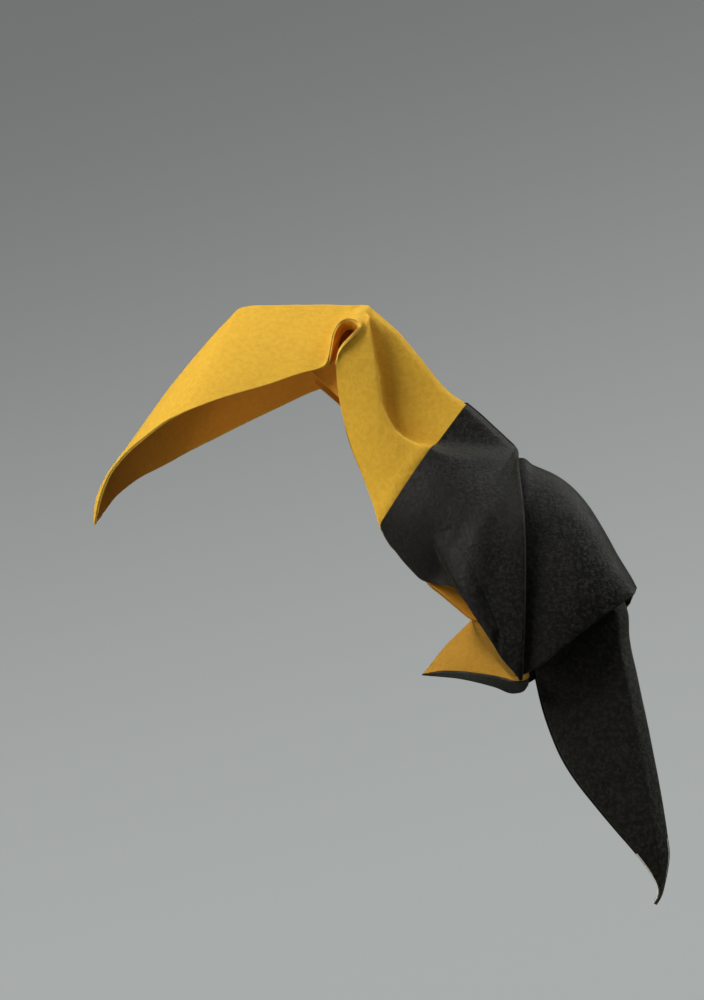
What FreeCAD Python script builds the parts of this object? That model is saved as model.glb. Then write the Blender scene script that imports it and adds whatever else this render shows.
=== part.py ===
"""Folded paper toucan: one two-coloured sheet, wet-folded into a perched bird.

The bird looks along -X and its middle plane is y = 0, with +Z up. The origin is the centre of the foot's
flat sole, which sits on the perch. The wings and the tail hang below the sole, behind the perch's rim.

The sheet is built side by side. Each stretch of the near side (-Y) is made of flats between thin cuts
across the sheet, which run from the stretch's top line to its free edge or its next crease. The cuts are
placed by rails: curves that follow the creases and edges. The far side is the near side mirrored.
"""
import FreeCAD, Part
import math
import os

Vector = FreeCAD.Vector

# Driving dimensions in millimetres: alias, value, what it sets. "ahead" and "behind" are measured along X
# from the origin, "rise" and "drop" along Z, and "half" is the distance from the middle plane.
SIZES = [
    ("paper", 0.5, "thickness of the folded sheet"),
    ("lap", 0.25, "how far the black layer stands proud of the yellow one"),
    ("tuck", 3.0, "how far a layer runs on under the one that covers it"),
    ("head_ahead", 25.1, "head corner, where beak and nape meet, ahead of the origin"),
    ("head_rise", 97.2, "head corner above the sole"),
    ("head_round", 0.7, "how far the soft head corner reaches along the brow and the nape"),
    ("brow_span", 33.0, "straight top of the beak, ahead of the head corner"),
    ("beak_reach", 70.6, "beak tip ahead of the head corner"),
    ("beak_drop", 57.7, "beak tip below the head corner"),
    ("beak_depth", 18.9, "beak's rear lower corner below the head corner"),
    ("beak_set", 10.6, "beak's rear lower corner ahead of the head corner"),
    ("beak_root_half", 9.0, "half width between the beak's rear lower corners"),
    ("beak_flare_half", 21.0, "pull of the beak's lower edges outwards"),
    ("beak_bow", 1.2, "outward bulge of the beak's cheeks"),
    ("throat_gap", 2.6, "top of the neck's front edge behind the beak's rear lower corner"),
    ("throat_lift", 2.2, "top of the neck's front edge above the beak's rear lower corner"),
    ("throat_half", 9.0, "half width between the neck's front edges at the top"),
    ("lip_half", 7.7, "half width at the neck's lip, where the hollow behind it ends"),
    ("breast_ahead", 22.3, "front corner of the cape ahead of the origin"),
    ("breast_rise", 37.8, "front corner of the cape above the sole"),
    ("breast_half", 3.6, "half width between the cape's front corners"),
    ("nape_behind", 0.5, "end of the nape, at the cape's top, behind the origin"),
    ("nape_rise", 70.2, "end of the nape above the sole"),
    ("cape_bow", 5.0, "outward bulge of the cape's sides"),
    ("shoulder_behind", 13.0, "shoulder, where cape and back meet, behind the origin"),
    ("shoulder_rise", 58.2, "shoulder above the sole"),
    ("chest_ahead", 10.2, "lowest stretch of the chest ahead of the origin"),
    ("chest_rise", 25.0, "lowest stretch of the chest above the sole"),
    ("chest_half", 8.0, "half width between the chest's lower edges"),
    ("wing_half", 14.3, "half width across the wings"),
    ("wing_tip_behind", 12.4, "wing tip behind the origin"),
    ("wing_tip_drop", 2.9, "wing tip below the sole"),
    ("wing_tip_half", 13.0, "half width between the wing tips"),
    ("back_behind", 42.0, "back corner behind the origin"),
    ("back_rise", 21.9, "back corner above the sole"),
    ("back_half", 8.5, "half width across the back corner"),
    ("back_depth", 2.6, "depth of the panels' rear ends at the back corner"),
    ("back_gap", 0.5, "gap between the wings and the back panels under them"),
    ("tail_root_behind", 38.7, "top of the tail's ridge behind the origin"),
    ("tail_root_rise", 19.5, "top of the tail's ridge above the sole"),
    ("tail_tip_behind", 44.6, "tail tip behind the origin"),
    ("tail_tip_drop", 56.5, "tail tip below the sole"),
    ("tail_front_behind", 16.2, "top of the tail's front edges behind the origin"),
    ("tail_front_rise", 3.0, "top of the tail's front edges above the sole"),
    ("tail_half", 4.5, "half width between the tail's front edges at the top"),
    ("tail_crown", 2.6, "half width of the tail's rounded ridge"),
    ("ankle_behind", 0.7, "ankle behind the origin"),
    ("ankle_rise", 14.4, "ankle above the sole"),
    ("toe_ahead", 11.7, "toe ahead of the origin"),
    ("heel_behind", 9.8, "foot's outer rear corners behind the origin"),
    ("heel_half", 11.0, "half width between the foot's outer rear corners"),
    ("spur_behind", 15.3, "rear end of the foot behind the origin"),
    ("spur_half", 8.0, "half width of the foot's rear end"),
    ("eye_height", 12.5, "height of the eye's rolled mouth"),
    ("eye_width", 7.0, "widest place of the eye's rolled mouth"),
    ("eye_half", 10.2, "half width between the mouths of the eyes"),
    ("rim_set", 0.8, "how far the eye's rim starts inside the cheek and ends inside the neck"),
    ("rim_sink", 1.4, "how deep the lower end of the eye's rim is set in the cheek and the neck"),
]

doc = FreeCAD.newDocument("FoldedToucan")
sheet = doc.addObject("Spreadsheet::Sheet", "Sizes")
for row, (alias, value, meaning) in enumerate(SIZES, start=1):
    sheet.set("A%d" % row, meaning)
    sheet.set("B%d" % row, str(value))
    sheet.setAlias("B%d" % row, alias)
doc.recompute()


def size(alias):
    """A driving dimension, read from the spreadsheet."""
    return float(sheet.get(alias))


# --- rails: curves whose points are (x, z, half), with half measured from the middle plane -----------------

def curve(points, share):
    """Point at a share (0 to 1) of the Bezier curve that the points control."""
    while len(points) > 1:
        points = [tuple(a + (b - a) * share for a, b in zip(first, second))
                  for first, second in zip(points, points[1:])]
    return points[0]


def from_to(first, last, share, drop_share=None, half=0.0):
    """Control point at shares of the way along X and Z from the first point to the last."""
    drop_share = share if drop_share is None else drop_share
    return (first[0] + (last[0] - first[0]) * share, first[1] + (last[1] - first[1]) * drop_share, half)


HEAD = (-size("head_ahead"), size("head_rise"), 0.0)
BROW = (HEAD[0] - size("brow_span"), HEAD[1], 0.0)
BEAK_TIP = (HEAD[0] - size("beak_reach"), HEAD[1] - size("beak_drop"), 0.0)
BEAK_ROOT = (HEAD[0] - size("beak_set"), HEAD[1] - size("beak_depth"), size("beak_root_half"))
THROAT = (BEAK_ROOT[0] + size("throat_gap"), BEAK_ROOT[1] + size("throat_lift"), size("throat_half"))
NAPE = (size("nape_behind"), size("nape_rise"), 0.0)
BREAST = (-size("breast_ahead"), size("breast_rise"), size("breast_half"))
SHOULDER = (size("shoulder_behind"), size("shoulder_rise"), 0.0)
CHEST = (-size("chest_ahead"), size("chest_rise"), size("chest_half"))
WING_TIP = (size("wing_tip_behind"), -size("wing_tip_drop"), size("wing_tip_half"))
BACK = (size("back_behind"), size("back_rise"), 0.0)
TAIL_ROOT = (size("tail_root_behind"), size("tail_root_rise"), 0.0)
TAIL_FRONT = (size("tail_front_behind"), size("tail_front_rise"), size("tail_half"))
TAIL_TIP = (size("tail_tip_behind"), -size("tail_tip_drop"), 0.0)
ANKLE = (size("ankle_behind"), size("ankle_rise"), 0.0)
TOE = (-size("toe_ahead"), 0.0, 0.0)
HEEL = (size("heel_behind"), 0.0, size("heel_half"))
SPUR = (size("spur_behind"), 0.0, size("spur_half"))

FLATS = 6              # flats between a cut's top and its edge


# --- cuts across the sheet ---------------------------------------------------------------------------------

def spread(top, edge, bow):
    """Control shape of a cut with a sharp top: shares of its depth, and half widths."""
    rise = edge[2] - top[2]
    return [(0.0, top[2]), (1 / 3, top[2] + rise / 3 + bow), (2 / 3, top[2] + 2 * rise / 3 + bow),
            (1.0, edge[2])]


def lipped(edge, lip, lip_half):
    """Control shape of a cut through a hollow, out to a lip at a share of its depth, then to the edge."""
    return [(0.0, 0.0), (0.57 * lip, 0.3 * lip_half), (0.87 * lip, 1.53 * lip_half), (1.0, edge[2])]


def rounded(edge, crown, bow):
    """Control shape of a cut with a rounded top in the middle plane. crown is (share of depth, half)."""
    return [(0.0, 0.0), crown, (0.55, edge[2] + bow), (1.0, edge[2])]


def beside(poles, distance, on_middle, most):
    """Poles of the line that runs beside a cut's line, inwards by a distance, which may be negative.

    Where the cut's top lies in the middle plane, the new line starts where it meets that plane, no further
    from the old start than most.
    """
    first, second, third, last = poles
    lean = math.dist(third, last)
    end = (last[0] + distance * (last[1] - third[1]) / lean, last[1] - distance * (last[0] - third[0]) / lean)
    lean = math.dist(first, second)
    if on_middle:
        start = (max(-most, min(distance * lean / second[1], most)), 0.0)
    else:
        start = (first[0] + distance * (second[1] - first[1]) / lean,
                 first[1] - distance * (second[0] - first[0]) / lean)
    scale = math.dist(start, end) / math.dist(first, last)
    return [start, (start[0] + scale * (second[0] - first[0]), start[1] + scale * (second[1] - first[1])),
            (end[0] + scale * (third[0] - last[0]), end[1] + scale * (third[1] - last[1])), end]


def cut(top, edge, shape, proud=0.0):
    """Corners of a thin cut across the near side, from top to edge, both (x, z, half), and back inside.

    The cut lies in a plane square to the middle plane. Where its top lies in the middle plane, so do its
    first and last corners. proud moves the whole cut outwards.
    """
    start = Vector(top[0], 0, top[1])
    along = Vector(edge[0], 0, edge[1]) - start
    length = along.Length
    along.normalize()
    poles = [(share * length, half) for share, half in shape]
    depth = min(size("paper"), 0.3 * length, 0.3 * max(half for share, half in shape))
    on_middle = top[2] == 0.0
    outer = beside(poles, -proud, on_middle, 1.6 * proud)
    inner = beside(poles, depth - proud, on_middle, 0.45 * length)
    shares = [index / FLATS for index in range(FLATS + 1)]
    corners = [curve(outer, share) for share in shares] + [curve(inner, share) for share in shares[::-1]]
    return [start + along * run - Vector(0, half, 0) for run, half in corners]


def flat_faces(first, second):
    """Flat triangles between two cuts, which have the same number of corners."""
    faces = []
    for index, near in enumerate(first):
        ring = (near, first[index - 1], second[index - 1], second[index])
        if near.distanceToPoint(second[index - 1]) < first[index - 1].distanceToPoint(second[index]):
            triangles = (ring[:3], (ring[0], ring[2], ring[3]))
        else:
            triangles = ((ring[0], ring[1], ring[3]), ring[1:])
        faces += [Part.Face(Part.makePolygon(triangle + triangle[:1])) for triangle in triangles]
    return faces


near_side = []


def stretch(name, cuts):
    """One stretch of the near side: flats between its cuts, closed by the first and the last cut."""
    faces = [Part.Face(Part.makePolygon(corners + corners[:1])) for corners in (cuts[0], cuts[-1])]
    for first, second in zip(cuts, cuts[1:]):
        faces += flat_faces(first, second)
    solid = Part.Solid(Part.Shell(faces))
    if solid.Volume < 0:
        solid.reverse()
    feature = doc.addObject("Part::Feature", name)
    feature.Shape = solid
    near_side.append(feature)


# --- beak: a straight brow, then one long curve down to the tip --------------------------------------------

BEAK_FRONT = [BROW, from_to(HEAD, BEAK_TIP, 0.72, 0.34), from_to(HEAD, BEAK_TIP, 1.007, 0.78), BEAK_TIP]
BEAK_EDGE = [BEAK_ROOT, from_to(HEAD, BEAK_TIP, 0.636, 0.523, size("beak_flare_half")),
             from_to(HEAD, BEAK_TIP, 0.94, 0.697, size("beak_flare_half")), BEAK_TIP]
BROW_SHARE = 0.22      # share of the lower edge that lies below the straight brow


def brow_cut(share):
    """Cut at a share of the brow, counted from the head corner."""
    top = curve([(HEAD[0] - size("head_round"), HEAD[1], 0.0), BROW], share)
    edge = curve(BEAK_EDGE, BROW_SHARE * share)
    return cut(top, edge, spread(top, edge, size("beak_bow") * share))


def beak_cut(share):
    """Cut at a share of the beak's front, counted from the end of the brow."""
    edge = curve(BEAK_EDGE, BROW_SHARE + (1 - BROW_SHARE) * share ** 1.2)
    return cut(curve(BEAK_FRONT, share), edge, spread(BROW, edge, size("beak_bow") * (1 - share)))


stretch("Brow", [brow_cut(0.0), brow_cut(0.5), brow_cut(1.0)])
BEAK_STEPS = (0.15, 0.3, 0.45, 0.6, 0.75, 0.88, 0.96, 0.99)
stretch("Beak", [brow_cut(1.0)] + [beak_cut(share) for share in BEAK_STEPS])

# --- neck: from the head corner down and on under the cape -------------------------------------------------

NAPE_LINE = [from_to(HEAD, NAPE, size("head_round") / math.dist(HEAD[:2], NAPE[:2])),
             from_to(HEAD, NAPE, 0.4, 0.32), from_to(HEAD, NAPE, 0.67, 0.82), NAPE]
NECK_EDGE = [THROAT, from_to(THROAT, BREAST, 0.0, 0.34, 7.0),
             from_to(THROAT, BREAST, 0.47, 0.67, 5.0), BREAST]
CHEST_LINE = [BREAST, from_to(BREAST, CHEST, 0.4, 0.68, 4.5), from_to(BREAST, CHEST, 0.72, 1.12, 6.5), CHEST]
LIP_LINE = [(0.25,), (0.6,), (0.74,), (0.38,)]     # where the lip lies, as a share of each cut's depth
TUCK_SHARE = size("tuck") / math.dist(NAPE[:2], SHOULDER[:2])


def neck_cut(share):
    """Cut at a share of the neck, counted from the head corner."""
    edge = curve(NECK_EDGE, share)
    return cut(curve(NAPE_LINE, share), edge, lipped(edge, curve(LIP_LINE, share)[0], size("lip_half")))


def cape_cut(share, proud):
    """Cut at a share of the cape, counted from its front edge, where the neck's lip runs out."""
    edge = curve(CHEST_LINE, share)
    shapes = zip(lipped(edge, LIP_LINE[-1][0], size("lip_half")), spread(NAPE, edge, size("cape_bow")))
    shape = [curve(poles, share) for poles in shapes]
    return cut(curve([NAPE, SHOULDER], share), edge, shape, proud)


# between beak and neck the sheet folds inwards, behind the eye
TEMPLE = (0.5 * (BEAK_ROOT[0] + THROAT[0]), 0.5 * (BEAK_ROOT[1] + THROAT[1]) + 1.0, 0.6 * THROAT[2])
temple_cut = cut(HEAD, TEMPLE, spread(HEAD, TEMPLE, 0.0))

stretch("Temple", [brow_cut(0.0), temple_cut, neck_cut(0.0)])
stretch("Neck", [neck_cut(share) for share in (0.0, 0.2, 0.4, 0.6, 0.8, 1.0)])
stretch("Tuck", [neck_cut(1.0), cape_cut(TUCK_SHARE, 0.0)])
stretch("Cape", [cape_cut(share, size("lap")) for share in (0.0, 0.35, 0.7, 1.0)])

# --- wing: from the shoulder down to its tip, each cut running from the rear fold to the front edge --------

WING_FOLD = [SHOULDER, (SHOULDER[0] + 1.6, SHOULDER[1] - 20.0, 0.85 * size("wing_half")),
             (SHOULDER[0] + 1.6, WING_TIP[1] + 20.0, 1.12 * size("wing_half")), WING_TIP]
WING_FRONT = [CHEST, from_to(CHEST, WING_TIP, 0.36, -0.05, size("wing_half")),
              from_to(CHEST, WING_TIP, 0.52, 0.44, size("wing_half")),
              from_to(CHEST, WING_TIP, 0.96, 0.98, WING_TIP[2])]


def wing_run(share):
    """Top, edge and control shape of the wing's cut at a share of the wing, counted from the shoulder."""
    top = curve(WING_FOLD, share)
    edge = curve(WING_FRONT, share ** 0.8)
    return top, edge, spread(top, edge, size("cape_bow") * (1 - share))


def wing_point(share, run_share):
    """Point on the wing, at a share of its length and a share of that cut's control curve."""
    top, edge, shape = wing_run(share)
    run, half = curve(shape, run_share)
    return (top[0] + (edge[0] - top[0]) * run, top[1] + (edge[1] - top[1]) * run, half)


WING_STEPS = (0.1, 0.22, 0.36, 0.52, 0.7, 0.86, 0.98)
stretch("Wing", [cape_cut(1.0, size("lap"))] + [cut(*wing_run(share), size("lap")) for share in WING_STEPS])

# --- back: rounded panels that come out from under the wings ------------------------------------------------

UNDER_WING = size("wing_half") - size("back_gap") - size("paper") + size("lap")
BACK_LINE = [(SHOULDER[0] - 1.5, SHOULDER[1] - 0.9, 0.0), from_to(SHOULDER, BACK, 0.24, 0.1),
             from_to(SHOULDER, BACK, 0.6, 0.22), BACK]
BACK_EDGE = [(WING_TIP[0], WING_TIP[1] + 1.0, WING_TIP[2] - 1.0), from_to(WING_TIP, BACK, 0.44, 0.42, 13.0),
             from_to(WING_TIP, BACK, 0.78, 0.7, 11.5),
             (BACK[0] - 1.0, BACK[1] - size("back_depth"), size("back_half"))]


def back_shape(share):
    """Control shape of the back's cut at a share of the back."""
    edge = curve(BACK_EDGE, share)
    crown = (0.2 * (1 - share), (1 - share) * 0.66 * UNDER_WING + share * 0.6 * edge[2])
    return rounded(edge, crown, 2.6 * (1 - share))


def back_cut(share):
    """Cut at a share of the back, counted from under the wing."""
    return cut(curve(BACK_LINE, share), curve(BACK_EDGE, share), back_shape(share))


stretch("Back", [back_cut(share) for share in (0.0, 0.2, 0.4, 0.6, 0.8, 0.92, 1.0)])

# --- tail: hangs from inside the back, with a rounded ridge and a hooked tip -------------------------------

TAIL_LINE = [TAIL_ROOT, from_to(TAIL_ROOT, TAIL_TIP, 0.56, 0.32),
             from_to(TAIL_ROOT, TAIL_TIP, 2.6, 0.81), TAIL_TIP]
TAIL_EDGE = [TAIL_FRONT, from_to(TAIL_FRONT, TAIL_TIP, 0.12, 0.47, size("tail_half")),
             from_to(TAIL_FRONT, TAIL_TIP, 0.79, 0.7, 0.6 * size("tail_half")),
             from_to(TAIL_FRONT, TAIL_TIP, 1.02, 0.965, 0.6)]


def tail_shape(share):
    """Control shape of the tail's cut at a share of the tail."""
    crown = (0.1 + 0.2 * share, size("tail_crown") * (1 - share) + 0.3)
    return rounded(curve(TAIL_EDGE, share), crown, 1.5 * (1 - share))


def tail_cut(share):
    """Cut at a share of the tail, counted from its root."""
    return cut(curve(TAIL_LINE, share), curve(TAIL_EDGE, share), tail_shape(share))


stretch("Tail", [tail_cut(share) for share in (0.0, 0.14, 0.28, 0.42, 0.55, 0.68, 0.8, 0.9, 0.96)])

# --- belly: a yellow fold that comes down from inside the chest to the ankle --------------------------------

BELLY_LINE = [(CHEST[0] - 1.8, CHEST[1] + 2.0, 0.0), from_to(CHEST, ANKLE, 0.3, 0.2),
              from_to(CHEST, ANKLE, 0.6, 0.72), ANKLE]
BELLY_STEPS = (0.0, 0.33, 0.67, 1.0)


def belly_cut(share, wing_share):
    """Cut at a share of the belly, counted from the chest, with its edge set in the wing at its share."""
    edge = wing_point(wing_share, 0.92)
    return cut(curve(BELLY_LINE, share), edge, spread(ANKLE, edge, 0.5))


stretch("Belly", [belly_cut(share, wing_share) for share, wing_share in zip(BELLY_STEPS, WING_STEPS)])

# --- foot: a lit front facet, a turned-in rear facet and a flat sole ----------------------------------------

SHIN_LINE = [ANKLE, from_to(ANKLE, TOE, 0.22, 0.15), from_to(ANKLE, TOE, 0.7, 0.6), TOE]
FOOT_CREASE = [(ANKLE[0] + 2.0, ANKLE[1] + 1.0, 1.0), from_to(ANKLE, HEEL, 0.36, 0.6, 0.5 * HEEL[2]),
               from_to(ANKLE, HEEL, 0.64, 0.82, 0.8 * HEEL[2]), HEEL]
FOOT_INSIDE = [(ANKLE[0] + 4.0, ANKLE[1] + 1.5, 1.5), from_to(ANKLE, SPUR, 0.55, 0.35, 0.5 * SPUR[2]),
               from_to(ANKLE, SPUR, 0.8, 0.85, 0.8 * SPUR[2]), SPUR]
foot_lift = size("paper") / 2


def lifted(point):
    """A point of the foot, raised to the middle of the sole's paper."""
    return (point[0], point[1] + foot_lift, point[2])


def facet_cut(first_line, second_line, share):
    """Cut across one facet of the foot, between two of its creases."""
    top = lifted(curve(first_line, share))
    edge = lifted(curve(second_line, share))
    top = (top[0], top[1], max(top[2], 0.0))
    edge = (edge[0], edge[1], max(edge[2], 0.4))
    return cut(top, edge, spread(top, edge, 0.0))


stretch("Shin", [facet_cut(SHIN_LINE, FOOT_CREASE, share) for share in (0.0, 0.2, 0.4, 0.7, 1.0)])
stretch("Heel", [facet_cut(FOOT_CREASE, FOOT_INSIDE, share) for share in (0.05, 0.3, 0.6, 1.0)])

# --- hidden returns: where the sheet turns back on itself and joins one stretch to the next ----------------

def on_cut(top, edge, shape, rise):
    """Point of a cut's outer line at a height above the sole, as (x, z, half)."""
    low, high = 0.0, 1.0
    for _ in range(30):
        middle = (low + high) / 2
        run = curve(shape, middle)[0]
        if top[1] + (edge[1] - top[1]) * run > rise:
            low = middle
        else:
            high = middle
    run, half = curve(shape, low)
    return (top[0] + (edge[0] - top[0]) * run, top[1] + (edge[1] - top[1]) * run, half)


def set_in(point, ahead):
    """A point of a stretch's outer line, moved ahead and half a sheet into the paper."""
    return (point[0] - ahead, point[1], point[2] - size("paper") / 2)


def wing_return(share):
    """Cut across the strip that turns forward under the wing's rear fold, on to the back panel."""
    fold = curve(WING_FOLD, share)
    top = set_in(fold, 0.2)
    edge = set_in(on_cut(BACK_LINE[0], BACK_EDGE[0], back_shape(0.0), fold[1]), -0.4)
    return cut(top, edge, spread(top, edge, 0.0))


def back_return(share):
    """Cut across the strip that turns up inside the back's lower edge and on to the tail."""
    outer = curve(BACK_EDGE, 1 - share)
    top = set_in((outer[0], outer[1] + 0.4, outer[2]), 0.3)
    edge = set_in(on_cut(TAIL_ROOT, TAIL_FRONT, tail_shape(0.0), outer[1] - 0.6), 0.0)
    return cut(top, edge, spread(top, edge, 0.0))


stretch("WingReturn", [wing_return(share) for share in (0.2, 0.4, 0.6, 0.8)])
stretch("BackReturn", [back_return(share) for share in (0.2, 0.4, 0.6, 0.75)])

# --- eye: the head's spare paper, rolled into a cone whose open mouth is the eye ----------------------------

RIM_FOLDS = 12         # small folds that the rolled paper is made of, one more than its flats
RIM = [(0.0, 0.0), (0.1, 0.45), (0.3, 0.82), (0.74, 1.0), (1.27, 0.83), (0.87, 0.53)]


def rim_point(share_x, share_z):
    """Point of the eye's rim, from the beak's rear lower corner, in shares of the eye's width and height."""
    return (BEAK_ROOT[0] - size("rim_set") + share_x * size("eye_width"),
            BEAK_ROOT[1] + share_z * size("eye_height"))


def rim_cut(scale):
    """Corners of the rolled paper, drawn in towards the head corner by a scale of 1 or less."""
    mouth = Part.BSplineCurve()
    mouth.interpolate([Vector(*rim_point(*shares), 0) for shares in RIM]
                      + [Vector(THROAT[0] + size("rim_set"), THROAT[1], 0)])
    line = [(point.x, point.y) for point in mouth.toShape().discretize(RIM_FOLDS)]
    depth = size("paper") * scale
    low_half = BEAK_ROOT[2] - size("rim_sink")
    slope = (size("eye_half") - low_half) / size("eye_height")

    def place(x, z):
        half = low_half + (z - BEAK_ROOT[1]) * slope
        return Vector(HEAD[0] + scale * (x - HEAD[0]), -scale * half, HEAD[1] + scale * (z - HEAD[1]))

    outer = []
    inner = []
    for index, (x, z) in enumerate(line):
        before = line[max(index - 1, 0)]
        after = line[min(index + 1, len(line) - 1)]
        run = math.dist(before, after)
        step = depth / scale / run
        outer.append(place(x, z))
        inner.append(place(x + (after[1] - before[1]) * step, z - (after[0] - before[0]) * step))
    return outer + inner[::-1]


stretch("Eye", [rim_cut(0.1), rim_cut(1.0)])

# --- the whole sheet: near side, far side and sole ----------------------------------------------------------

sole_outline = doc.addObject("Part::Feature", "SoleOutline")
corners = [(TOE[0], 0.0), (HEEL[0], -HEEL[2]), (SPUR[0], -SPUR[2]), (SPUR[0], SPUR[2]), (HEEL[0], HEEL[2])]
corners.append(corners[0])
sole_outline.Shape = Part.Face(Part.makePolygon([Vector(x, y, 0) for x, y in corners]))
sole = doc.addObject("Part::Extrusion", "Sole")
sole.Base = sole_outline
sole.DirMode = "Custom"
sole.Dir = Vector(0, 0, 1)
sole.Solid = True
sole.setExpression("LengthFwd", "Sizes.paper")

near = doc.addObject("Part::MultiFuse", "NearSide")
near.Shapes = near_side
far = doc.addObject("Part::Mirroring", "FarSide")
far.Source = near
far.Normal = Vector(0, 1, 0)
whole = doc.addObject("Part::MultiFuse", "FoldedSheet")
whole.Shapes = [near, far, sole]
whole.Label = "folded_sheet"
doc.recompute()

for item in doc.Objects:
    if "Invalid" in item.State or "Error" in item.State:
        raise RuntimeError("%s failed: %s" % (item.Name, item.State))
shape = whole.Shape
if shape.isNull() or not shape.isValid():
    raise RuntimeError("the folded sheet is not a valid shape")
print("solids", len(shape.Solids), "faces", len(shape.Faces), "volume", round(shape.Volume, 1))

os.makedirs("parts", exist_ok=True)
shape.exportStep("parts/%s.step" % whole.Label)
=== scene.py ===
"""Look of the folded paper toucan: soft felt-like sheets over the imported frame, in a studio.

The bird's sizes are millimetres of the design, and MM turns them into metres of the frame. The
studio's sizes are metres. The bird looks along -X, its middle plane is y = 0, and the near side
is -Y. A point of a fold or an edge is (x, z, half), where half is its distance from the middle
plane. A cut is a line across the paper, from the top of the bird to the paper's edge.
"""
import math

import bpy
import numpy as np
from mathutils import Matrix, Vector, noise


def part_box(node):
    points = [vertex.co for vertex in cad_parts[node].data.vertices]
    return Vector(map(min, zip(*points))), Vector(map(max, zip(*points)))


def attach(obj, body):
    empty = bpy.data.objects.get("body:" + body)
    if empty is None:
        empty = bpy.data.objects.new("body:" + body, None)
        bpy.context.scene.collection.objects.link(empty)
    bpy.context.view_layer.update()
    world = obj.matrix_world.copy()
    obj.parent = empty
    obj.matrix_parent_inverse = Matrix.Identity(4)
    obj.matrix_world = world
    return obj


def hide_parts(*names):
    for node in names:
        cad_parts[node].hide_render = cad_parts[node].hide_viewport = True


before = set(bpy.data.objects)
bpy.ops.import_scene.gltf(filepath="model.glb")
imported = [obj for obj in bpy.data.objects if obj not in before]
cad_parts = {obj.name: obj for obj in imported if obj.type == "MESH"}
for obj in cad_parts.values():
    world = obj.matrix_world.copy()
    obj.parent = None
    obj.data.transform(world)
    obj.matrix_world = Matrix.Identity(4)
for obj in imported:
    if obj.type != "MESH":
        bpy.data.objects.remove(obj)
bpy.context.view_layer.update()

LOW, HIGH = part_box("folded_sheet")
DESIGN_HEIGHT = 151.86     # height of the design, from the tail's tip to the crown
MM = (HIGH.z - LOW.z) / DESIGN_HEIGHT

PAPER = 0.45               # thickness of the sheet
LAYER = 0.3                # thickness of each layer where the sheet lies double
TAIL_PAPER = 0.35
BELLY_PAPER = 0.25
FOOT_PAPER = 0.2
TIP_PAPER = 0.2
HAIRLINE = 0.12            # gap between two layers at an edge
LAP = 0.5                  # how far the black sheet stands proud of the yellow one
WELD_REACH = 0.01          # points closer than this are one point
RIM_ROUNDING = 0.22        # rounding of a sheet's rims, as a share of its thickness
RIM_ANGLE = 55             # degrees between faces from which an edge is a rim
UNEVENNESS = 0.14          # height of the slow waves that wet-folded paper keeps
WAVE = 9.0                 # length of those waves
RIPPLE = 2.6               # length of the small ripples on them
RIPPLE_SHARE = 0.2         # height of the ripples, as a share of the waves'
FACET_COUNT, FACET_ACROSS = 40, 24     # points along a small facet's lines and across it
MIRROR = np.array([1.0, -1.0, 1.0])


# --- curves --------------------------------------------------------------------------------------

def spline(points, count):
    """Evenly spaced rows along the smooth curve through the points.

    The first six columns hold places and set the spacing, and further columns follow them.
    """
    points = np.array(points, float)
    lengths = np.linalg.norm(np.diff(points[:, :6], axis=0), axis=1)
    run = np.concatenate(([0.0], np.cumsum(lengths)))
    run /= run[-1]
    slope = np.gradient(points, run, axis=0)
    shares = np.linspace(0.0, 1.0, count)
    index = np.clip(np.searchsorted(run, shares, side="right") - 1, 0, len(run) - 2)
    span = (run[index + 1] - run[index])[:, None]
    t = ((shares - run[index]) / span[:, 0])[:, None]
    start = (2 * t ** 3 - 3 * t ** 2 + 1) * points[index]
    start_slope = (t ** 3 - 2 * t ** 2 + t) * span * slope[index]
    end = (3 * t ** 2 - 2 * t ** 3) * points[index + 1]
    end_slope = (t ** 3 - t ** 2) * span * slope[index + 1]
    return start + start_slope + end + end_slope


def step(low, high, value):
    """Smooth step from 0 at low to 1 at high."""
    t = np.clip((value - low) / (high - low), 0.0, 1.0)
    return t * t * (3 - 2 * t)


def blur(grid, reach, axis, mirrored_start=False):
    """Grid of points softened along one axis with a bell curve, its ends kept in place.

    With mirrored_start the first line lies in the middle plane, and the far side continues the
    grid beyond it.
    """
    grid = np.moveaxis(grid, axis, 0)
    size = min(int(math.ceil(3 * reach)), len(grid) - 1)
    if mirrored_start:
        before = grid[size:0:-1] * MIRROR
    else:
        before = 2 * grid[:1] - grid[size:0:-1]
    after = 2 * grid[-1:] - grid[-2:-2 - size:-1]
    padded = np.concatenate([before, grid, after])
    weights = np.exp(-0.5 * (np.arange(-size, size + 1) / reach) ** 2)
    weights /= weights.sum()
    soft = sum(weight * padded[index:index + len(grid)] for index, weight in enumerate(weights))
    return np.moveaxis(soft, 0, axis)


# --- grids ---------------------------------------------------------------------------------------

def near_half(rows, across, half_of):
    """Grid of the near side, where each row's cut runs from its top to its edge.

    A row holds the top's x, z and half, the edge's x, z and half, then the values that half_of
    needs for the shape of its cut. Across holds shares of a cut.
    """
    grid = np.zeros((len(rows), len(across), 3))
    for index, row in enumerate(rows):
        grid[index, :, 0] = row[0] + (row[3] - row[0]) * across
        grid[index, :, 2] = row[1] + (row[4] - row[1]) * across
        grid[index, :, 1] = -half_of(across, row)
    return grid


def cut_length(row):
    """Length of a row's cut, seen from the side."""
    return math.hypot(row[3] - row[0], row[4] - row[1])


def as_grid(points):
    """Grid of the near side's x, y and z from points (x, z, half)."""
    return np.stack([points[..., 0], -points[..., 2], points[..., 1]], axis=-1)


def row_shares(count):
    """Shares from 0 to 1 along the rows of a grid."""
    return np.linspace(0.0, 1.0, count)[None, :, None]


def column_shares(count):
    """Shares from 0 to 1 down the columns of a grid."""
    return np.linspace(0.0, 1.0, count)[:, None, None]


def between_lines(first, second, shares):
    """Points (x, z, half) on straight cuts from one line of points to another."""
    return first[:, None] * (1 - shares) + second[:, None] * shares


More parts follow.
